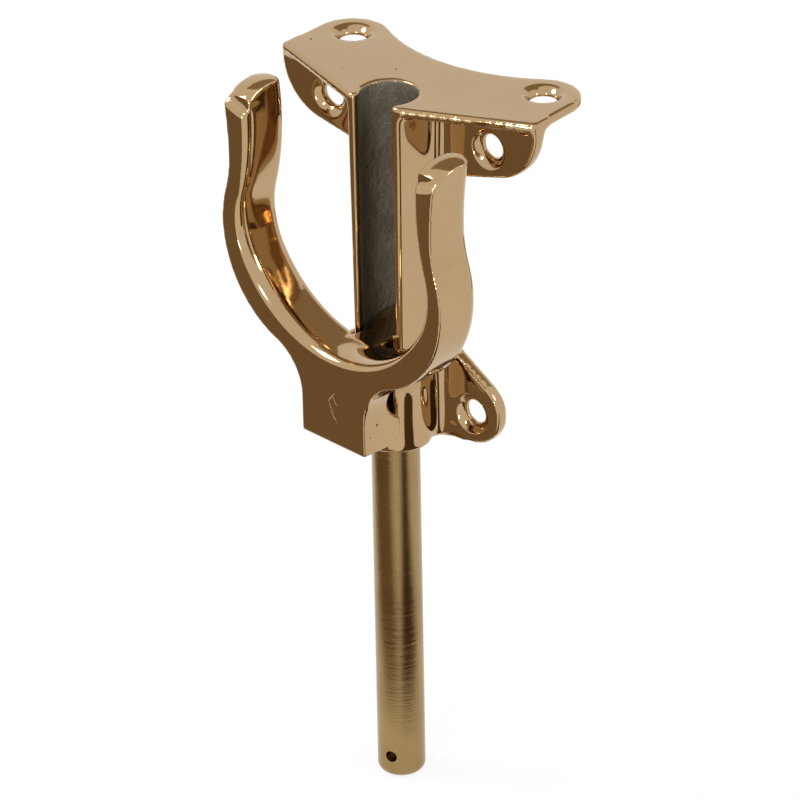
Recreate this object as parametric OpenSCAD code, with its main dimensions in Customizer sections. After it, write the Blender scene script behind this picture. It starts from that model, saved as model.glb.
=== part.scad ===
// Side-mount rowlock in cast bronze: a slotted bracket, screwed to the gunwale, and a
// cranked fork on a turned shank, shown stowed with its neck down in the bracket's slot.
// Every form below is drawn about the bore: X along the gunwale, Y outboard, Z up from
// the top of the flange. in_frame() then moves it to the seat between the two top screws.

/* [Flange] */
// thickness of the top flange
flange_t = 2.7; // [2.5:0.1:5]
// distance between the two top screws
screw_span = 62.4; // [56:0.2:76]
// how far the top screws lie outboard of the bore
screw_back = 23; // [20:0.5:32]
// radius of the lobe round each top screw
lobe_r = 10; // [9:0.1:14]
// how far each lobe's centre lies inboard of its screw
lobe_shift = 0.6; // [0:0.1:2.5]
// how far the hollow back edge lies outboard of the bore, at the middle
waist_back = 23.2; // [17:0.1:27]
// half the width of the flange across its tips
tip_x = 41.7; // [40:0.1:56]

/* [Screw holes] */
// diameter of every screw hole
screw_d = 6.2; // [4.6:0.1:6.4]
// diameter of every countersink at the surface
sink_d = 10.8; // [9:0.1:11]
// slope of a countersink's side, from its axis
sink_angle = 50; // [48:1:60]

/* [Channel] */
// diameter of the rough bore for the shank
bore_d = 14.8; // [14.2:0.1:15.4]
// width of the slot in which the neck slides
slot_w = 12; // [11.4:0.1:12.4]
// height of the bracket, from the flange's top to the foot of the collar
bracket_h = 97.5; // [85:0.5:130]
// height of the closed collar under the slot
collar_h = 5.5; // [4:0.5:12]
// outer radius of the collar
collar_r = 10.4; // [9.8:0.1:10.6]
// height of the round boss over the collar
boss_h = 17; // [12:1:24]
// height of the cone that runs the boss out into the channel
boss_fade = 15; // [8:1:22]
// distance of the channel's front faces inboard of the bore
lip_front = 6.9; // [6:0.1:8]
// half the width of the channel at its front faces, at the top
front_x = 8.7; // [8.2:0.1:10]
// draft of the channel's sides
draft = 0.65; // [0:0.05:1]
// radius on the channel's front corners
lip_r = 1.2; // [0.4:0.1:1.6]
// radius of the hollows between the channel's sides and the ears
root_r = 3.5; // [1.5:0.1:4]

/* [Ears] */
// distance of the ears' inboard faces outboard of the bore
ear_front = 6.9; // [6:0.1:8.5]
// thickness of the ears and of the spine behind the channel
ear_t = 3.8; // [3:0.1:6]
// half the width of the channel and of its root on the ears
spine_x = 10.5; // [10:0.1:11.4]
// half the width of the spine behind the channel
web_x = 12.5; // [12:0.1:14]
// distance between the two upper side screws
upper_span = 52.2; // [46:0.2:62]
// depth of the upper side screws below the flange's top
upper_drop = 11; // [10:0.5:14]
// radius of the upper ears
upper_r = 15.6; // [14:0.1:16.5]
// slope of the upper ears' lower edge down to the spine
upper_slope = 14; // [5:1:25]
// distance between the two lower side screws
lower_span = 39.2; // [36:0.2:46]
// height of the lower side screws above the foot of the collar
lower_rise = 9.5; // [9:0.1:13]
// radius of the lower ears
lower_r = 9.3; // [8.4:0.1:10]
// slope of the lower ears' upper edge
lower_slope = 35; // [25:1:50]
// radius of the hollow between the flange's underside and the ears' backs
corner_r = 3; // [1:0.1:4]
// radius of the hollows where the ears run into the spine
ear_fillet = 7; // [3:0.5:9]

/* [Fork] */
// distance of the fork's flat front face inboard of the shank's axis
face_y = 22.1; // [20:0.1:26]
// front-to-back depth of the fork's arms
arm_depth = 14.2; // [11:0.1:14.4]
// height of the seat's front edge over the foot of the block
seat_z = 23.2; // [22:0.1:26]
// radius of the seat at the fork's front face
seat_r = 38.3; // [36:0.1:42]
// radius of the fork's hollow sides at the front face
side_r = 22.5; // [20:0.1:26]
// half the width inside the fork at the front face, at its widest
inner_x = 35.7; // [34:0.1:37]
// half the width inside the fork at the front face, between the tips
mouth_x = 32; // [30:0.1:33.5]
// height over the foot of the block at which the mouth is narrowest
mouth_z = 78; // [74:0.5:80]
// radius of the arms' outer bulge
bulge_r = 29.7; // [27:0.1:33]
// half the width over the arms' bulge
outer_x = 40.1; // [39:0.1:43]
// height of the bulge's widest point over the foot of the block
bulge_z = 50.5; // [47:0.5:54]
// radius of the arms' hollow outer necks
waist_r = 29; // [24:1:34]
// half the width over the arms' hollow necks
waist_x = 37; // [35.5:0.1:38]
// radius of the flare from the necks out to the tips
flare_r = 98; // [60:1:140]
// radius on the inner edges of the arms
edge_r = 2; // [1:0.1:2.5]
// share by which a rounded edge stops short of running tangent into its faces
edge_soft = 0.2; // [0.1:0.05:0.4]
// radius on the arms' outer edge at the back
back_r = 3.4; // [2:0.1:3.6]
// height of the front face's tips over the foot of the block
tip_z = 84.6; // [82:0.1:90]
// rise of the domed tips over the front face
dome_h = 4.3; // [2:0.1:6]
// distance of the dome's crest behind the front face
dome_back = 10.5; // [7:0.1:12]
// distance of each tip's crest from the middle of the fork
crown_x = 34; // [32:0.1:37]

/* [Block and neck] */
// half the width of the block under the fork
block_x = 11.6; // [10:0.1:13]
// radius of the hollows between the block and the arms
block_fillet = 14; // [9:0.5:16]
// radius on the block's lower edge at the back
heel_r = 4.5; // [2:0.1:6]
// distance of the block's heel inboard of the shank's axis
heel_y = 9; // [8:0.1:11]
// radius of the scoop across the block's back
scoop_r = 7.8; // [5:0.1:9]
// width of the neck that slides in the slot
neck_w = 9.2; // [8:0.1:9.4]
// height of the neck's top over the foot of the block
neck_top = 29.5; // [28:0.5:34]
// radius of the hollow ramp from the seat up to the neck's top
ramp_r = 9.6; // [7:0.1:12]

/* [Shank] */
// diameter of the turned shank
shank_d = 12.7; // [12.4:0.1:13]
// length of the shank under the fork
shank_l = 105.5; // [100:0.5:140]
// radius on the shank's lower end
shank_end_r = 2.5; // [1:0.1:4]
// diameter of the spigot on which the fork is fitted
spigot_d = 8; // [6:0.1:9]
// length of the spigot
spigot_l = 16; // [10:0.5:20]
// diameter of the keeper hole across the shank
keeper_d = 3.2; // [2:0.1:4]
// height of the keeper hole over the shank's lower end
keeper_rise = 6.5; // [5:0.1:9]
// turn of the keeper hole from the fore-and-aft line
keeper_turn = 14; // [0:1:60]

/* [Stowed position] */
// turn of the fork in the slot, as photographed
stow_turn = 6.4; // [0:0.1:8]
// gap between the neck and the collar that it rests on
rest_gap = 0.3; // [0.2:0.05:0.5]
// gap between the block and the collar as the fork turns
turn_gap = 0.8; // [0.5:0.05:1]

/* [Hidden] */
$fn = 96;
e = 0.01;
bronze = [0.72, 0.50, 0.29];
brass = [0.70, 0.60, 0.34];

// ---- derived sizes -------------------------------------------------------------------
// where two arcs run into each other, the tighter one stands this much proud of a true
// tangent, so that they cross cleanly
proud = 0.02;
screw_x = screw_span / 2;
upper_x = upper_span / 2;
lower_x = lower_span / 2;
foot_z = -bracket_h;
collar_z = foot_z + collar_h;
ear_back = ear_front + ear_t;
upper_z = -upper_drop;
lower_z = foot_z + lower_rise;
sink_h = (sink_d - screw_d) / 2 / tan(sink_angle);
lobe_y = screw_back - lobe_shift;
// the back edge's hollow is one arc that runs tangent into both lobes
hollow_r = (pow(screw_x, 2) + pow(waist_back - lobe_y, 2) - pow(lobe_r, 2))
         / (2 * (lobe_r - (waist_back - lobe_y)));
hollow_y = waist_back + hollow_r;

// the fork's arcs, all tangent to one another where they meet
side_c = [inner_x - side_r, 0];
side_z = seat_z + seat_r - sqrt(pow(seat_r - side_r, 2) - pow(side_c[0], 2));
seat_cz = seat_z + seat_r;
mouth_r = (pow(mouth_x - side_c[0], 2) + pow(mouth_z - side_z, 2) - pow(side_r, 2))
        / (2 * (side_r - (mouth_x - side_c[0])));
mouth_cx = mouth_x + mouth_r;
bulge_cx = outer_x - bulge_r;
waist_cx = waist_x + waist_r;
waist_z = bulge_z + sqrt(pow(bulge_r + waist_r, 2) - pow(waist_cx - bulge_cx, 2));
fillet_cx = block_x + block_fillet;
fillet_z = bulge_z - sqrt(pow(bulge_r + block_fillet, 2) - pow(fillet_cx - bulge_cx, 2));
dome_r = (pow(dome_back, 2) + pow(dome_h, 2)) / (2 * dome_h);
arm_back = face_y - arm_depth;
top_z = tip_z + dome_h;
crown_z = top_z - dome_r;
relief_r = collar_r + turn_gap;
seat_c = [0, seat_cz];
side_cc = [side_c[0], side_z];
mouth_c = [mouth_cx, mouth_z];
bulge_c = [bulge_cx, bulge_z];
waist_c = [waist_cx, waist_z];
flare_c = [waist_x + flare_r, waist_z];
fillet_c = [fillet_cx, fillet_z];
scoop_z = heel_r + scoop_r + 2.2;
seat_end = meet(side_cc, side_r, 2 * side_cc - seat_c);
side_end = meet(side_cc, side_r, mouth_c);
bulge_foot = meet(bulge_c, bulge_r, fillet_c);
bulge_head = meet(bulge_c, bulge_r, waist_c);

// ---- helpers -------------------------------------------------------------------------
// the point where two arcs meet, from the first arc's centre
function meet(c1, r1, c2) = c1 + (c2 - c1) / norm(c2 - c1) * r1;

module in_frame() translate([0, -screw_back, flange_t]) children();

module both() { children(); mirror([1, 0, 0]) children(); }

// a plan in X and Z, given thickness from one Y to another
module slab(y0, y1) translate([0, y1, 0]) rotate([90, 0, 0]) linear_extrude(y1 - y0) children();

// a ring about a fore-and-aft axis, made from a section in radius and depth
module ring(cx, cz, y) translate([cx, y, cz]) rotate([-90, 0, 0]) rotate_extrude($fn = 192) children();

// a screw hole with its countersink, opening upward at the origin
module screw_hole(t) {
    translate([0, 0, -t - 1]) cylinder(h = t + 2, d = screw_d);
    translate([0, 0, -sink_h])
        cylinder(h = sink_h + 1, d1 = screw_d, d2 = sink_d + 2 * tan(sink_angle));
}

// ---- bracket -------------------------------------------------------------------------
// the rounded corner where the channel's front runs into the flange's swept edge
lip_c = [front_x - lip_r, lip_r - lip_front];
lip_run = [tip_x, ear_front] - lip_c;
lip_slope = atan2(lip_run[1], lip_run[0]) + asin(lip_r / norm(lip_run));
lip_end = lip_c + lip_r * [sin(lip_slope), -cos(lip_slope)];

module flange_plan() both() {
    polygon([[-5, -lip_front], [lip_c[0], -lip_front], lip_c, lip_end, [tip_x, ear_front],
             [screw_x + lobe_r, lobe_y], [screw_x, lobe_y], [screw_x - 3, lobe_y - 4],
             [-5, lobe_y - 4]]);
    translate(lip_c) circle(lip_r);
    translate([screw_x, lobe_y]) circle(lobe_r + proud);
    // the hollow back edge between the lobes
    difference() {
        polygon([[-5, lobe_y - 8], [screw_x - 3, lobe_y - 8], [screw_x, lobe_y], [0, hollow_y],
                 [-5, hollow_y]]);
        translate([0, hollow_y]) circle(hollow_r, $fn = 192);
    }
}

// the ears and the spine, as one plan in X and Z
module ear_plan() {
    top = -flange_t / 2;
    upper_c = [upper_x, -flange_t - 0.4];
    lower_c = [lower_x, lower_z + 1.2];
    both() {
        translate([-5, foot_z]) square([web_x + 5, top - foot_z]);
        intersection() {
            translate(upper_c) circle(upper_r + proud);
            translate([0, foot_z]) square([2 * tip_x, top - foot_z]);
        }
        wing(upper_c, upper_r, upper_slope, -1, [[upper_x, top], [web_x - 3, top]]);
        translate(lower_c) circle(lower_r + proud);
        wing(lower_c, lower_r, lower_slope, 1,
             [lower_c - [0, lower_r], [web_x, foot_z], [web_x - 3, foot_z]]);
    }
}

// an ear from its round in to the spine, its sloping edge tangent to the round, and the
// hollow where that edge runs into the spine; up is 1 where the slope faces up, -1 down
module wing(c, r, slope, up, rest) {
    n = [sin(slope), up * cos(slope)];
    run = [1, -up * tan(slope)];
    t = c + r * n;
    p = t - run * (t[0] - web_x);
    o = p + ear_fillet * [1, up * (1 - sin(slope)) / cos(slope)];
    polygon(concat([p - 3 * run, t, c], rest));
    difference() {
        polygon([o - [ear_fillet + 2, 0], o, o - (ear_fillet + 2) * n, p - [2, up * 2]]);
        translate(o) circle(ear_fillet + proud);
    }
}

// one side of the channel: cuts its draft, its rounded front corner and the hollow in which
// it runs into the ears
module channel_side() {
    lean = atan((spine_x - front_x) / (lip_front + ear_front));
    // depth at which the hollow begins, along the side
    root = (lip_front + ear_front - root_r * (1 - sin(lean))) / cos(lean);
    translate([front_x, -lip_front, 0]) rotate([0, draft, 0]) rotate([0, 0, -lean])
        translate([0, 0, -1.5 * bracket_h]) linear_extrude(2 * bracket_h) {
            translate([0, -5]) square([30, root + 5]);
            translate([root_r, root]) circle(root_r);
            translate([root_r, -5]) square([30, 40]);
            difference() {
                translate([-lip_r, -5]) square([lip_r + 1, lip_r + 5]);
                translate([-lip_r, lip_r]) circle(lip_r);
            }
        }
}

module channel()
    difference() {
        slab(-lip_front, ear_front + ear_t / 2) intersection() {
            ear_plan();
            translate([-spine_x - 2 * root_r, foot_z - 1])
                square([2 * spine_x + 4 * root_r, bracket_h]);
        }
        both() channel_side();
    }

// the hollow under the flange, from one end to the other
module corner() rotate([90, 0, 90]) translate([0, 0, 0.5 - tip_x])
    linear_extrude(2 * tip_x - 1) difference() {
        translate([ear_back - 1, -flange_t - corner_r]) square(corner_r + 1);
        translate([ear_back + corner_r, -flange_t - corner_r]) circle(corner_r + proud);
    }

module bracket() color(bronze) in_frame()
    difference() {
        union() {
            translate([0, 0, -flange_t]) linear_extrude(flange_t) flange_plan();
            slab(ear_front, ear_back) ear_plan();
            corner();
            channel();
            // the collar, its boss, and the cone that fades it into the channel
            intersection() {
                union() {
                    translate([0, 0, foot_z]) cylinder(h = boss_h, r = collar_r);
                    translate([0, 0, foot_z + boss_h])
                        cylinder(h = boss_fade, r1 = collar_r, r2 = lip_front - 0.3);
                }
                translate([-collar_r - 1, -collar_r - 1, foot_z])
                    cube([2 * collar_r + 2, collar_r + 1 + ear_back, boss_h + boss_fade]);
            }
        }
        translate([0, 0, foot_z - 1]) cylinder(h = bracket_h + 2, d = bore_d);
        translate([-slot_w / 2, -collar_r - 5, collar_z])
            cube([slot_w, collar_r + 5, bracket_h - collar_h + 1]);
        both() {
            translate([screw_x, screw_back, 0]) screw_hole(flange_t);
            translate([upper_x, ear_front, upper_z]) rotate([90, 0, 0]) screw_hole(ear_t);
            translate([lower_x, ear_front, lower_z]) rotate([90, 0, 0]) screw_hole(ear_t);
        }
    }

// ---- fork ----------------------------------------------------------------------------
// a wedge with its point at c, its sides running through p and q
module wedge(c, p, q) polygon([c, c + 3 * (p - c), c + 3 * (q - c)]);

// the space inside the fork, g further in than the front face's own edge; each form runs
// on inside its neighbour from the point where their outlines touch
module inside_plan(g) {
    intersection() {
        translate(seat_c) circle(seat_r - g, $fn = 192);
        wedge(seat_c, [-seat_end[0], seat_end[1]], seat_end);
    }
    both() {
        translate(side_cc) circle(side_r + proud - g, $fn = 192);
        difference() {
            polygon([[-5, top_z + 9], [-5, seat_cz], side_cc, mouth_c, [mouth_cx, top_z + 9]]);
            translate(mouth_c) circle(mouth_r + g, $fn = 288);
        }
    }
}

// outline of the fork's arms and block in X and Z, without the inside
module outside_plan() both() {
    difference() {
        polygon([[-5, 0], [block_x, 0], [block_x, fillet_z], fillet_c, bulge_c,
                 [-5, bulge_z + 3]]);
        translate(fillet_c) circle(block_fillet);
    }
    translate(bulge_c) circle(bulge_r + proud, $fn = 192);
    difference() {
        polygon([[-5, bulge_z - 5], bulge_c, waist_c, [-5, waist_z]]);
        translate(waist_c) circle(waist_r, $fn = 192);
    }
    difference() {
        translate([-5, waist_z - 8]) square([waist_x + 30, top_z + 10 - waist_z]);
        translate(flare_c) circle(flare_r, $fn = 384);
    }
}

// the fork seen from the side: flat front, flat back, and at the back of the block a scoop
// over a round heel
module side_plan() difference() {
    translate([-face_y, 0]) square([arm_depth, top_z + 1]);
    translate([-heel_y, -1]) square([heel_y, scoop_z + 1]);
    difference() {
        translate([-heel_y - heel_r, -1]) square([heel_r + 1, heel_r + 1]);
        translate([-heel_y - heel_r, heel_r]) circle(heel_r);
    }
    translate([-heel_y + 3, scoop_z]) circle(scoop_r);
}

// a rounded edge of size r, which meets both faces at a slight angle as a linished edge
// does; drawn inward from the corner
module edge(r) {
    c = r * (1 + edge_soft);
    difference() {
        translate([-1, -1]) square([c + 1, c + 1]);
        translate([c, c]) circle(norm([r * edge_soft, c]));
    }
}

// keeps of a ring only what lies between two of its radii, through p and q
module between(c, p, q) intersection() {
    children();
    slab(-40, 40) wedge(c, p, q);
}

// rings that round the edges of the inner walls, drawn at the front face
module seat_edge() between(seat_c, [-seat_end[0], seat_end[1]], seat_end)
    ring(seat_c[0], seat_c[1], 0) translate([seat_r - edge_r, 0]) edge(edge_r);

module side_edge() both()
    ring(side_cc[0], side_cc[1], 0) translate([side_r + proud - edge_r, 0]) edge(edge_r);

module mouth_edge() both() between(mouth_c, side_end, [mouth_x, top_z + 15])
    ring(mouth_cx, mouth_z, 0) translate([mouth_r + edge_r, 0]) mirror([1, 0]) edge(edge_r);

// rings that round the edges of the outer walls, drawn at the front face
module bulge_edge(r) both() between(bulge_c, bulge_foot, bulge_head)
    ring(bulge_cx, bulge_z, 0) translate([bulge_r + proud, 0]) mirror([1, 0]) edge(r);

module waist_edge(r) both() between(waist_c, bulge_head - [0, 4], [waist_x, waist_z])
    ring(waist_cx, waist_z, 0) translate([waist_r, 0]) edge(r);

module flare_edge(r) both() between(flare_c, [waist_x, waist_z], [waist_x, top_z + 12])
    ring(flare_c[0], waist_z, 0) translate([flare_r, 0]) edge(r);

module at_front() translate([0, -face_y, 0]) children();
module at_back() translate([0, -arm_back, 0]) rotate([0, 0, 180]) children();

// cuts one family of edges at a time, so that every ring stays exact
module less() difference() { children(0); children(1); }

// the whole cranked yoke, sawn from its outline, its side view and the crown of its tips
module blank() intersection() {
    slab(-face_y, -arm_back) difference() {
        outside_plan();
        inside_plan(edge_r);
    }
    rotate([90, 0, 90]) translate([0, 0, -2 * outer_x]) linear_extrude(4 * outer_x) side_plan();
    crown();
}

// each tip is crowned by part of a ball
module crown() {
    translate([-2 * outer_x, -face_y - 5, -1]) cube([4 * outer_x, face_y + 5, crown_z + 1]);
    both() translate([crown_x, dome_back - face_y, crown_z]) rotate([0, 90, 0])
        sphere(dome_r, $fn = 192);
}

module arms()
    less() { less() { less() { less() { less() { less() {
        blank();
        at_front() side_edge(); }
        at_front() { seat_edge(); mouth_edge(); } }
        at_back() side_edge(); }
        at_back() { seat_edge(); mouth_edge(); } }
        at_back() waist_edge(back_r); }
        at_back() { bulge_edge(back_r); flare_edge(back_r); }
    }

module neck()
    difference() {
        union() {
            translate([-neck_w / 2, -face_y + 3, 0]) cube([neck_w, face_y - 3, neck_top]);
            cylinder(h = neck_top, d = shank_d);
        }
        // hollow ramp from the seat up to the neck's top
        translate([-neck_w, -face_y + edge_r + 5, seat_z + edge_r + ramp_r]) rotate([0, 90, 0])
            cylinder(h = 2 * neck_w, r = ramp_r);
        translate([-neck_w, -face_y - 1, seat_z + edge_r]) cube([2 * neck_w, edge_r + 6, neck_top]);
    }

module stowed() in_frame() translate([0, 0, collar_z + rest_gap]) children();

module fork() color(bronze) stowed() rotate([0, 0, -stow_turn])
    difference() {
        union() {
            difference() {
                arms();
                translate([0, 0, -1]) cylinder(h = top_z, r = relief_r);
            }
            neck();
        }
        translate([0, 0, -1]) cylinder(h = spigot_l + 1.2, d = spigot_d + 0.08);
    }

// ---- shank ---------------------------------------------------------------------------
module shank() color(brass) stowed()
    difference() {
        union() {
            translate([0, 0, -shank_l]) rotate_extrude() {
                square([shank_d / 2 - shank_end_r, shank_end_r + e]);
                translate([0, shank_end_r]) square([shank_d / 2, shank_l - shank_end_r - 0.02]);
                intersection() {
                    translate([shank_d / 2 - shank_end_r, shank_end_r]) circle(shank_end_r);
                    square([shank_d, shank_end_r + e]);
                }
            }
            translate([0, 0, -1]) cylinder(h = spigot_l + 1, d = spigot_d);
        }
        translate([0, 0, keeper_rise - shank_l]) rotate([90, 0, keeper_turn])
            translate([0, 0, -shank_d]) cylinder(h = 2 * shank_d, d = keeper_d);
    }

// ---- drawing -------------------------------------------------------------------------
bracket();
fork();
shank();
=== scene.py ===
import math

import bpy
import numpy as np
from mathutils import Matrix, Vector


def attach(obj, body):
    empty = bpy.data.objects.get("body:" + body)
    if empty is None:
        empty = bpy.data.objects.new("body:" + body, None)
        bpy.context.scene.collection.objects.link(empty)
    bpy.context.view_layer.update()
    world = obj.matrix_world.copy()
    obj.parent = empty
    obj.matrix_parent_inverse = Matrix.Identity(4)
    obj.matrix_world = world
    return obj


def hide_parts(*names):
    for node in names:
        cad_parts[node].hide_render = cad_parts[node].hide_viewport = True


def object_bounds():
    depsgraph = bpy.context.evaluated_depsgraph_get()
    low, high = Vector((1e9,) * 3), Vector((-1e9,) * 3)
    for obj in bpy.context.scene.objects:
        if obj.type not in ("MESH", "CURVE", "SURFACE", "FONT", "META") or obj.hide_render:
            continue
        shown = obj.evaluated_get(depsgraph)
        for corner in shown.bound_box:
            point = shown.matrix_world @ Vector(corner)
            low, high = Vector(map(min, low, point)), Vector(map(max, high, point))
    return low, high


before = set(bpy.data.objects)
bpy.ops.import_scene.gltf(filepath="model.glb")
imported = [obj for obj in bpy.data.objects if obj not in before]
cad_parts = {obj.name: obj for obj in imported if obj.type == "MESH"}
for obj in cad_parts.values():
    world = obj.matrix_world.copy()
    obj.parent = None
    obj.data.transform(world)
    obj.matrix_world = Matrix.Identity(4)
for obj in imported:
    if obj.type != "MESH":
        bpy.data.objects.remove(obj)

cad_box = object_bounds()


# ---- Camera -----------------------------------------------------------------
# The photograph is taken from the right, from above, with a long lens held
# slightly out of level. Angles and distance come from the screw holes, the
# bore and the shank in the photograph.
camera_azimuth = math.radians(40.27)
camera_height = math.radians(24.49)
camera_roll = math.radians(1.1)
camera_distance = 1.505
focal_pixels = 5983.0
frame_pixels = 800
frame_centre = frame_pixels / 2
bore_top = Vector((0.0, -0.023, 0.0027))
bore_top_pixel = (389.0, 92.0)

level_right = Vector((math.cos(camera_azimuth), math.sin(camera_azimuth), 0.0))
view = Vector((
    -math.sin(camera_azimuth) * math.cos(camera_height),
    math.cos(camera_azimuth) * math.cos(camera_height),
    -math.sin(camera_height),
))
level_up = level_right.cross(view)
right = level_right * math.cos(camera_roll) - level_up * math.sin(camera_roll)
up = level_right * math.sin(camera_roll) + level_up * math.cos(camera_roll)
aim = (view + right * ((frame_centre - bore_top_pixel[0]) / focal_pixels)
       - up * ((frame_centre - bore_top_pixel[1]) / focal_pixels)).normalized()
side = (right - aim * right.dot(aim)).normalized()
place = Matrix((side, (-aim).cross(side), -aim)).transposed().to_4x4()
place.translation = bore_top - camera_distance * view

camera_data = bpy.data.cameras.new("camera")
camera_data.sensor_width = 36.0
camera_data.lens = focal_pixels * camera_data.sensor_width / frame_pixels
camera_data.clip_end = 50.0
camera = bpy.data.objects.new("camera", camera_data)
camera.matrix_world = place
bpy.context.collection.objects.link(camera)
bpy.context.scene.camera = camera
bpy.context.scene.view_settings.view_transform = "Standard"


# ---- Floor and light --------------------------------------------------------
# A plain white floor under the rowlock and soft studio light: a pale room, a large
# lamp high at the left, two small ones in front, high and low, and one at the right.
# Brown cloth cards stand for dark surroundings that only polished metal sees.
def linear(code):
    """An sRGB hex colour as linear RGBA."""
    parts = [int(code[i:i + 2], 16) / 255 for i in (0, 2, 4)]
    return [c / 12.92 if c <= 0.04045 else ((c + 0.055) / 1.055) ** 2.4 for c in parts] + [1.0]


def add(tree, kind, links=None, **settings):
    """Adds a node; settings are its properties or sockets, links its inputs."""
    node = tree.nodes.new(kind)
    for name, value in settings.items():
        if name.startswith("in_"):
            node.inputs[name[3:].replace("_", " ")].default_value = value
        elif name.startswith("at_"):
            node.inputs[int(name[3:])].default_value = value
        else:
            setattr(node, name, value)
    for socket, source in (links or {}).items():
        tree.links.new(source, node.inputs[socket])
    return node


def new_material(name):
    material = bpy.data.materials.new(name)
    material.use_nodes = True
    material.node_tree.nodes.clear()
    return material, material.node_tree


floor_level = cad_box[0][2]
bpy.ops.object.select_all(action="DESELECT")
bpy.ops.mesh.primitive_plane_add(size=8.0, location=(0, 0, floor_level))
floor = bpy.context.object
floor.name = "floor"
bpy.ops.object.transform_apply(location=True)
white, tree = new_material("white studio floor")
path = add(tree, "ShaderNodeLightPath")
seen = add(tree, "ShaderNodeMath",
           {0: path.outputs["Is Camera Ray"], 1: path.outputs["Is Glossy Ray"]},
           operation="ADD", use_clamp=True)
# the rest of the floor's tone is its matt paint, which keeps the shadow
glow_share = 0.85
seen_share = add(tree, "ShaderNodeMath", {0: seen.outputs[0]},
                 operation="MULTIPLY", at_1=glow_share)
matt = add(tree, "ShaderNodeBsdfDiffuse", in_Color=linear("F4F3F1"))
glow = add(tree, "ShaderNodeEmission", in_Color=linear("FFFFFF"), in_Strength=1.0)
mix = add(tree, "ShaderNodeMixShader",
          {0: seen_share.outputs[0], 1: matt.outputs[0], 2: glow.outputs[0]})
add(tree, "ShaderNodeOutputMaterial", {0: mix.outputs[0]})
floor.data.materials.append(white)

world = bpy.data.worlds.new("pale room")
bpy.context.scene.world = world
world.use_nodes = True
tree = world.node_tree
tree.nodes.clear()
path = add(tree, "ShaderNodeLightPath")
seen = add(tree, "ShaderNodeMath",
           {0: path.outputs["Is Camera Ray"], 1: path.outputs["Is Glossy Ray"]},
           operation="ADD", use_clamp=True)
seen = add(tree, "ShaderNodeMath",
           {0: seen.outputs[0], 1: path.outputs["Is Transmission Ray"]},
           operation="ADD", use_clamp=True)
room = add(tree, "ShaderNodeBackground", in_Color=linear("FFFFFF"), in_Strength=0.9)
backdrop = add(tree, "ShaderNodeBackground", in_Color=linear("FFFFFF"), in_Strength=1.0)
mix = add(tree, "ShaderNodeMixShader",
          {0: seen.outputs[0], 1: room.outputs[0], 2: backdrop.outputs[0]})
add(tree, "ShaderNodeOutputWorld", {0: mix.outputs[0]})

# each lamp's place and width in metres and its power in watts
aim_point = Vector((0, 0, -0.08))
for name, spot, size, power in (
    ("lamp_left", (-0.9, -0.5, 1.1), 0.5, 7.0),
    ("lamp_front", (0.25, -1.05, 0.75), 0.16, 2.6),
    ("lamp_right", (1.0, 0.2, 0.7), 0.3, 2.0),
    ("lamp_low", (0.22, -1.07, -0.10), 0.10, 1.8),
):
    lamp = bpy.data.lights.new(name, "AREA")
    lamp.shape = "SQUARE"
    lamp.size = size
    lamp.energy = power
    holder = bpy.data.objects.new(name, lamp)
    bpy.context.collection.objects.link(holder)
    holder.location = spot
    holder.rotation_euler = (aim_point - Vector(spot)).to_track_quat("-Z", "Y").to_euler()

# each card's colour, place, width, depth and turn
card_level = floor_level + 0.002
for name, colour, spot, wide, deep, turn in (
    ("card_front", "8F7A60", (-0.55, -0.62, card_level), 1.2, 1.1, 0.0),
    ("card_left", "6E5C48", (-0.75, 0.25, card_level), 0.5, 0.5, 0.0),
    ("card_back", "A08C74", (0.05, 0.75, card_level), 0.16, 0.8, 0.0),
    ("card_right", "5A4632", (0.36, -0.12, card_level), 0.66, 0.10, -18.0),
    ("card_above", "A8957C", (-0.30, 0.90, 1.2), 1.6, 1.4, 0.0),
):
    cloth, tree = new_material("brown cloth " + name)
    glow = add(tree, "ShaderNodeEmission", in_Color=linear(colour), in_Strength=1.0)
    add(tree, "ShaderNodeOutputMaterial", {0: glow.outputs[0]})
    bpy.ops.object.select_all(action="DESELECT")
    bpy.ops.mesh.primitive_plane_add(size=1.0, location=spot)
    card = bpy.context.object
    card.name = name
    card.scale = (wide, deep, 1.0)
    card.rotation_euler.z = math.radians(turn)
    bpy.ops.object.transform_apply(location=True, rotation=True, scale=True)
    card.data.materials.append(cloth)
    card.visible_camera = False
    card.visible_diffuse = False
    card.visible_shadow = False
    card.visible_transmission = False


# ---- Bracket ----------------------------------------------------------------
# One bronze casting, ground and buffed on its outer faces, so every edge is a
# little rounded. The bore keeps the dark, sandy skin of the mould.
def loose_copy(node, name, move):
    """A merged copy of a cast node that can be worked on, moved to its own upright place."""
    bpy.ops.object.select_all(action="DESELECT")
    piece = bpy.data.objects.new(name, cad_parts[node].data.copy())
    bpy.context.collection.objects.link(piece)
    piece.data.transform(move)
    bpy.context.view_layer.objects.active = piece
    piece.select_set(True)
    bpy.ops.object.mode_set(mode="EDIT")
    bpy.ops.mesh.select_all(action="SELECT")
    bpy.ops.mesh.remove_doubles(threshold=1e-6)
    bpy.ops.object.mode_set(mode="OBJECT")
    return piece


def fine_skin(piece, grain):
    """Gives a casting one even skin of small facets, to be filed and buffed."""
    bpy.context.view_layer.objects.active = piece
    skin = piece.modifiers.new("skin", "REMESH")
    skin.mode = "VOXEL"
    skin.voxel_size = grain
    skin.use_smooth_shade = True
    bpy.ops.object.modifier_apply(modifier="skin")


def buff(piece, passes, where=None):
    """Rounds what it passes over, as a buffing wheel does."""
    bpy.context.view_layer.objects.active = piece
    wheel = piece.modifiers.new("wheel", "SMOOTH")
    wheel.factor = 0.5
    wheel.iterations = passes
    if where:
        wheel.vertex_group = where
    bpy.ops.object.modifier_apply(modifier="wheel")


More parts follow.
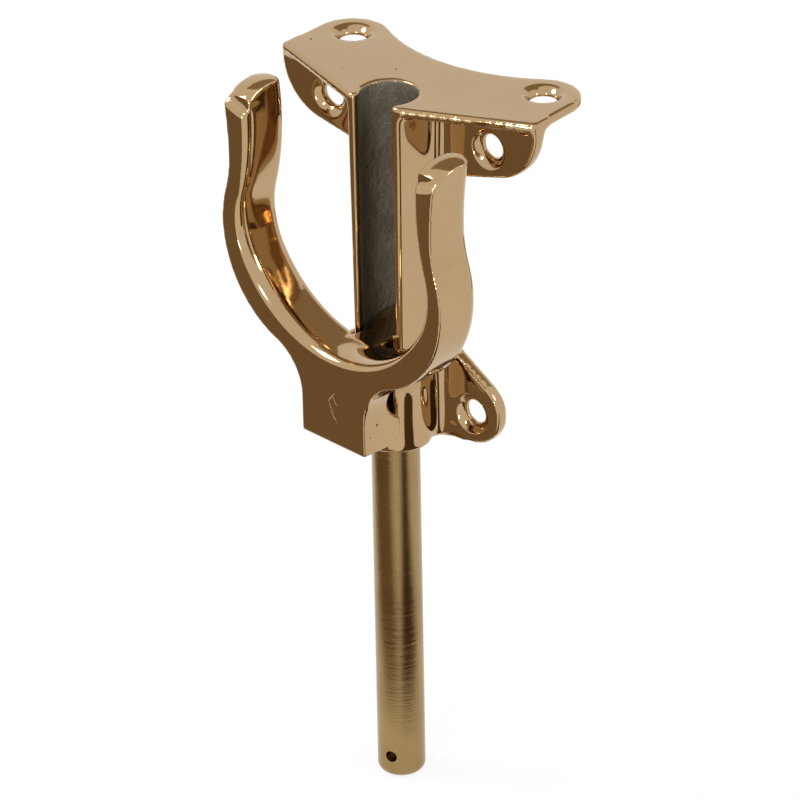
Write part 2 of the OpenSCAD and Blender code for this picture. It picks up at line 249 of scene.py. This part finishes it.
def spots_of(piece):
    """The places of a piece's vertices, one row each."""
    spots = np.empty(len(piece.data.vertices) * 3)
    piece.data.vertices.foreach_get("co", spots)
    return spots.reshape(-1, 3)


def fade(value, low, high):
    """0 below low, 1 above high, smooth between; high below low turns it round."""
    share = np.clip((value - low) / (high - low), 0.0, 1.0)
    return share * share * (3 - 2 * share)


def polished_bronze(name, base, deep, corner_shade, pits, turn=0.0):
    """Buffed cast bronze: a warm mirror, waved by hand polishing, with painted shade darkening its
    corners.
    """
    material, tree = new_material(name)
    texture = add(tree, "ShaderNodeTexCoord")
    centred = add(tree, "ShaderNodeVectorMath", {0: texture.outputs["Object"]},
                  operation="SUBTRACT")
    centred.inputs[1].default_value = bore_top
    place = add(tree, "ShaderNodeVectorRotate", {"Vector": centred.outputs[0]},
                in_Angle=turn).outputs[0]
    # tone drifts slowly over the casting, about 25 mm across
    drift = add(tree, "ShaderNodeTexNoise", {"Vector": place}, in_Scale=40.0, in_Detail=3.0)
    tone = add(tree, "ShaderNodeMix", {"Factor": drift.outputs["Fac"]}, data_type="RGBA")
    tone.inputs[6].default_value = linear(base)
    tone.inputs[7].default_value = linear(deep)
    # painted shade: the metal is darkened towards the corner colour in its concave corners and
    # hollows
    bend = add(tree, "ShaderNodeNewGeometry").outputs["Pointiness"]
    slight_hollow, deep_hollow, most_corner_shade = 0.49, 0.43, 0.75
    corner = add(tree, "ShaderNodeMapRange", {"Value": bend}, interpolation_type="SMOOTHSTEP")
    corner.inputs["From Min"].default_value = slight_hollow
    corner.inputs["From Max"].default_value = deep_hollow
    corner.inputs["To Max"].default_value = most_corner_shade
    shade_painted_tone = add(tree, "ShaderNodeMix", {"Factor": corner.outputs[0]}, data_type="RGBA")
    tree.links.new(tone.outputs[2], shade_painted_tone.inputs[6])
    shade_painted_tone.inputs[7].default_value = linear(corner_shade)
    # long soft waves left by the wheel, and the slight orange peel of a casting
    waves = add(tree, "ShaderNodeTexNoise", {"Vector": place}, in_Scale=48.0, in_Detail=0.5)
    peel = add(tree, "ShaderNodeTexNoise", {"Vector": place}, in_Scale=260.0, in_Detail=2.0)
    bump = add(tree, "ShaderNodeBump", {"Height": waves.outputs["Fac"]},
               in_Strength=0.5, in_Distance=0.0014)
    bump = add(tree, "ShaderNodeBump", {"Height": peel.outputs["Fac"], "Normal": bump.outputs[0]},
               in_Strength=0.07, in_Distance=0.00012)
    # a few gas pits, half a millimetre to one across, where the casting shows them; their dark
    # fill is dirt with painted shade
    pitted = None
    for spot, size in pits:
        away = add(tree, "ShaderNodeVectorMath", {0: place}, operation="DISTANCE")
        away.inputs[1].default_value = spot
        hole = add(tree, "ShaderNodeMapRange", {"Value": away.outputs["Value"]},
                   interpolation_type="SMOOTHSTEP")
        hole.inputs["From Min"].default_value = size
        hole.inputs["From Max"].default_value = size * 0.4
        if pitted is None:
            pitted = hole.outputs[0]
        else:
            pitted = add(tree, "ShaderNodeMath", {0: pitted, 1: hole.outputs[0]},
                         operation="MAXIMUM").outputs[0]
    return material, tree, place, shade_painted_tone.outputs[2], bump.outputs[0], pitted


# tones shared by both castings: metal, its deeper patches, and the painted shade of the corners
bronze_tones = ("BEA17A", "B0936C", "74573A")
# each pit's place from the bore's top, and its radius
bracket_pits = (
    ((-0.0368, 0.0129, 0.0), 0.00055),
    ((-0.0076, 0.0119, 0.0), 0.0005),
    ((-0.0190, 0.0042, 0.0), 0.0003),
)
bronze, tree, place, tone, bump, pitted = polished_bronze(
    "buffed cast bronze", *bronze_tones, bracket_pits)
# the as-cast skin of the bore, inside 7.6 mm of its axis: sand grain drawn some
# 2 mm coarse so that it shows, with darker blotches about 7 mm across
flat = add(tree, "ShaderNodeVectorMath", {0: place}, operation="MULTIPLY")
flat.inputs[1].default_value = (1.0, 1.0, 0.0)
radius = add(tree, "ShaderNodeVectorMath", {0: flat.outputs[0]}, operation="LENGTH")
cast = add(tree, "ShaderNodeMapRange", {"Value": radius.outputs["Value"]},
           interpolation_type="SMOOTHSTEP")
cast.inputs["From Min"].default_value = 0.0079
cast.inputs["From Max"].default_value = 0.0074
sand = add(tree, "ShaderNodeTexNoise", {"Vector": place},
           in_Scale=520.0, in_Detail=4.0, in_Roughness=0.7)
blotch = add(tree, "ShaderNodeTexNoise", {"Vector": place}, in_Scale=140.0, in_Detail=4.0)
skin_tone = add(tree, "ShaderNodeMix", {"Factor": blotch.outputs["Fac"]}, data_type="RGBA")
skin_tone.inputs[6].default_value = linear("473C2B")
skin_tone.inputs[7].default_value = linear("7C7566")
sand_bump = add(tree, "ShaderNodeBump", {"Height": sand.outputs["Fac"]},
                in_Strength=1.0, in_Distance=0.0008)
polish = add(tree, "ShaderNodeBsdfPrincipled", {"Base Color": tone, "Normal": bump},
           in_Metallic=1.0, in_Roughness=0.08)
raw = add(tree, "ShaderNodeBsdfPrincipled",
          {"Base Color": skin_tone.outputs[2], "Normal": sand_bump.outputs[0]},
          in_Metallic=0.35, in_Roughness=0.55)
# the pits' dark colour: dirt, and the painted shade of the hollow
pit_dirt_and_shade = add(tree, "ShaderNodeBsdfPrincipled", in_Metallic=0.0, in_Roughness=0.9)
pit_dirt_and_shade.inputs["Base Color"].default_value = linear("3A2C1E")
mix = add(tree, "ShaderNodeMixShader",
          {0: cast.outputs[0], 1: polish.outputs[0], 2: raw.outputs[0]})
mix = add(tree, "ShaderNodeMixShader", {0: pitted, 1: mix.outputs[0], 2: pit_dirt_and_shade.outputs[0]})
add(tree, "ShaderNodeOutputMaterial", {0: mix.outputs[0]})

# the copy of the bracket that shows, worked on with the bore's top at the origin
centre = Matrix.Translation(-bore_top)
bracket = loose_copy("bracket", "buffed_bracket", centre)
facet, file_passes, wheel_passes = 0.0005, 110, 24
fine_skin(bracket, facet)
# the corners where the ears run into the channel and collar are worked with a
# round file first, 7 to 13 mm out from the bore's axis, clear of the screw holes;
# each pair of distances is where the file starts or stops to bite
file_in, file_out = (0.006, 0.0075), (0.0160, 0.0135)
before_ear, into_ear = (0.0015, 0.003), (0.0088, 0.0078)
off_bore, under_flange = (0.0086, 0.0092), (-0.001, -0.004)
spots = spots_of(bracket)
out_x, in_y = np.abs(spots[:, 0]), spots[:, 1]
round_corner = (
    fade(out_x, *file_in) * fade(out_x, *file_out)
    * fade(in_y, *before_ear) * fade(in_y, *into_ear)
    * fade(np.hypot(out_x, in_y), *off_bore)
    * fade(spots[:, 2], *under_flange))
file_marks = bracket.vertex_groups.new(name="round_file")
for index in np.where(round_corner > 0.01)[0]:
    file_marks.add([int(index)], float(round_corner[index]), "REPLACE")
buff(bracket, file_passes, "round_file")
buff(bracket, wheel_passes)
bracket.vertex_groups.clear()
bracket.data.transform(centre.inverted())
bracket.data.materials.clear()
bracket.data.materials.append(bronze)
bracket.select_set(False)
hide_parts("bracket")
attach(bracket, "bracket")


# ---- Fork -------------------------------------------------------------------
# The rowlock's U with its block, neck and stub: one casting in the same bronze,
# buffed all over. It stands in the bracket's bore, turned a little to one side.
stowed_turn = math.radians(6.4)
fork_pits = (
    ((0.0114, -0.0174, -0.0837), 0.0006),
    ((0.0114, -0.0199, -0.0865), 0.0004),
    ((0.0114, -0.0184, -0.0856), 0.0003),
)
bronze, tree, place, tone, bump, pitted = polished_bronze(
    "buffed cast bronze of the fork", *bronze_tones, fork_pits, stowed_turn)
# four short nicks on the block's front, painted paler as a glint: each one's place,
# half its length and its lean; each is about 0.25 mm wide
front = -0.0221
nicks = None
for (x, z), (half, lean) in (
    ((-0.0002, -0.0782), (0.0022, 0.9)),
    ((0.0010, -0.0790), (0.0016, 2.2)),
    ((-0.0004, -0.0812), (0.0018, 2.1)),
    ((0.0006, -0.0836), (0.0020, 2.3)),
):
    local = add(tree, "ShaderNodeVectorMath", {0: place}, operation="SUBTRACT")
    local.inputs[1].default_value = (x, front, z)
    local = add(tree, "ShaderNodeVectorRotate", {"Vector": local.outputs[0]},
                rotation_type="Y_AXIS", in_Angle=lean)
    local = add(tree, "ShaderNodeVectorMath", {0: local.outputs[0]}, operation="DIVIDE")
    local.inputs[1].default_value = (half, 0.001, 0.00012)
    size = add(tree, "ShaderNodeVectorMath", {0: local.outputs[0]}, operation="LENGTH")
    nick = add(tree, "ShaderNodeMapRange", {"Value": size.outputs["Value"]},
               interpolation_type="SMOOTHSTEP")
    nick.inputs["From Min"].default_value = 1.1
    nick.inputs["From Max"].default_value = 0.7
    if nicks is None:
        nicks = nick.outputs[0]
    else:
        nicks = add(tree, "ShaderNodeMath", {0: nicks, 1: nick.outputs[0]},
                    operation="MAXIMUM").outputs[0]
polish = add(tree, "ShaderNodeBsdfPrincipled", {"Base Color": tone, "Normal": bump},
           in_Metallic=1.0, in_Roughness=0.08)
# the pits' dark colour: dirt, and the painted shade of the hollow
pit_dirt_and_shade = add(tree, "ShaderNodeBsdfPrincipled", in_Metallic=0.0, in_Roughness=0.9)
pit_dirt_and_shade.inputs["Base Color"].default_value = linear("4A3A28")
# the nicks' metal, painted paler than the bronze: a painted glint
nick_painted_glint = add(tree, "ShaderNodeBsdfPrincipled", in_Metallic=1.0, in_Roughness=0.6)
nick_painted_glint.inputs["Base Color"].default_value = linear("E8D2AC")
mix = add(tree, "ShaderNodeMixShader", {0: pitted, 1: polish.outputs[0], 2: pit_dirt_and_shade.outputs[0]})
mix = add(tree, "ShaderNodeMixShader", {0: nicks, 1: mix.outputs[0], 2: nick_painted_glint.outputs[0]})
add(tree, "ShaderNodeOutputMaterial", {0: mix.outputs[0]})

# the copy of the fork that shows, worked on in its own square place: X across the
# U, the front face at Y = front, the bore's axis at the origin and Z up
upright = Matrix.Rotation(stowed_turn, 4, "Z") @ Matrix.Translation(-bore_top)
fork = loose_copy("fork", "buffed_fork", upright)

# the line that the file follows round the U, as X and Z of its right half: where
# the cast edge meets the inner wall, 2 mm behind the front face, run on past the tip
rim, reading_error, run_on = 0.002, 3e-5, 0.01
line = sorted({(round(abs(v.co.x), 6), round(v.co.z, 6)) for v in fork.data.vertices
               if abs(v.co.y - front - rim) < reading_error}, key=lambda q: (q[1], q[0]))
line = [(0.0, line[0][1])] + line
last = Vector((line[-1][0] - line[-2][0], line[-1][1] - line[-2][1])).normalized() * run_on
line.append((line[-1][0] + last.x, line[-1][1] + last.y))

# the neck's top is hollowed into a ramp that sweeps up from the seat to the bore
ramp_radius, ramp_width = 0.029, 0.0130
ramp_foot = Vector((0.0, -0.009, -0.066))
bpy.ops.object.select_all(action="DESELECT")
bpy.ops.mesh.primitive_cylinder_add(
    vertices=256, radius=ramp_radius, depth=ramp_width,
    location=ramp_foot + Vector((0, 0, ramp_radius)), rotation=(0, math.pi / 2, 0))
ramp = bpy.context.object
bpy.ops.object.transform_apply(location=True, rotation=True)
bpy.context.view_layer.objects.active = fork
hollow = fork.modifiers.new("hollow", "BOOLEAN")
hollow.operation = "DIFFERENCE"
hollow.object = ramp
bpy.ops.object.modifier_apply(modifier="hollow")
bpy.data.objects.remove(ramp)
facet, wheel_passes = 0.0004, 20
fine_skin(fork, facet)

# the inner front edge is filed to a long quarter of an ellipse, 2.4 mm into the
# face and 5 mm back along the wall
into_face, along_wall = 0.0024, 0.0050
spots = spots_of(fork)
depth = spots[:, 1] - front
near = np.where(depth < along_wall)[0]
# how deep in the metal, away from that line, each spot near the front lies, and
# which way that is
flat = np.stack((np.abs(spots[near, 0]), spots[near, 2]), axis=1)
best = np.full(len(near), 1.0)
out = np.zeros((len(near), 2))
for (ax, az), (bx, bz) in zip(line[:-1], line[1:]):
    step = np.array((bx - ax, bz - az))
    length = np.hypot(*step)
    if length < 1e-6:
        continue
    step /= length
    away = flat - (ax, az)
    along = np.clip(away @ step, 0.0, length)
    gap = away - along[:, None] * step
    size = np.hypot(gap[:, 0], gap[:, 1])
    closer = size < np.abs(best)
    metal = away @ np.array((step[1], -step[0]))
    best = np.where(closer, np.where(metal >= 0, size, -size), best)
    out[closer] = (step[1], -step[0])
# a spot outside the ellipse is pressed onto it
share = np.stack((best / into_face - 1, depth[near] / along_wall - 1), axis=1)
reach = np.hypot(share[:, 0], share[:, 1])
filed = (share[:, 0] < 0) & (share[:, 1] < 0) & (reach > 1) & (best > -0.001)
ideal = share / np.maximum(reach, 1e-9)[:, None]
shift = np.where(filed, (ideal[:, 0] - share[:, 0]) * into_face, 0.0)
spots[near, 0] += shift * out[:, 0] * np.sign(spots[near, 0])
spots[near, 2] += shift * out[:, 1]
spots[near, 1] += np.where(filed, (ideal[:, 1] - share[:, 1]) * along_wall, 0.0)
fork.data.vertices.foreach_set("co", spots.ravel())
buff(fork, wheel_passes)
fork.data.transform(upright.inverted())
fork.data.materials.clear()
fork.data.materials.append(bronze)
fork.select_set(False)
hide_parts("fork")
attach(fork, "fork")


# ---- Shank ------------------------------------------------------------------
# A plain brass rod with a rounded end and a keeper's hole, turned on a lathe, which
# leaves fine lines round it. It is pressed into the fork's block.
brass, tree = new_material("turned brass rod")
place = add(tree, "ShaderNodeTexCoord").outputs["Object"]
drift = add(tree, "ShaderNodeTexNoise", {"Vector": place}, in_Scale=60.0, in_Detail=4.0)
tone = add(tree, "ShaderNodeMix", {"Factor": drift.outputs["Fac"]}, data_type="RGBA")
tone.inputs[6].default_value = linear("AE9466")
tone.inputs[7].default_value = linear("8A6E44")
# lathe lines some 0.2 mm apart, uneven, most of them right round
squash = add(tree, "ShaderNodeVectorMath", {0: place}, operation="MULTIPLY")
squash.inputs[1].default_value = (24.0, 24.0, 5200.0)
lines = add(tree, "ShaderNodeTexNoise", {"Vector": squash.outputs[0]}, in_Scale=1.0, in_Detail=3.0)
groove = add(tree, "ShaderNodeBump", {"Height": lines.outputs["Fac"]},
             in_Strength=0.35, in_Distance=0.00016)
skin = add(tree, "ShaderNodeBsdfPrincipled",
           {"Base Color": tone.outputs[2], "Normal": groove.outputs[0]},
           in_Metallic=1.0, in_Roughness=0.2)
add(tree, "ShaderNodeOutputMaterial", {0: skin.outputs[0]})
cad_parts["shank"].material_slots[0].material = brass
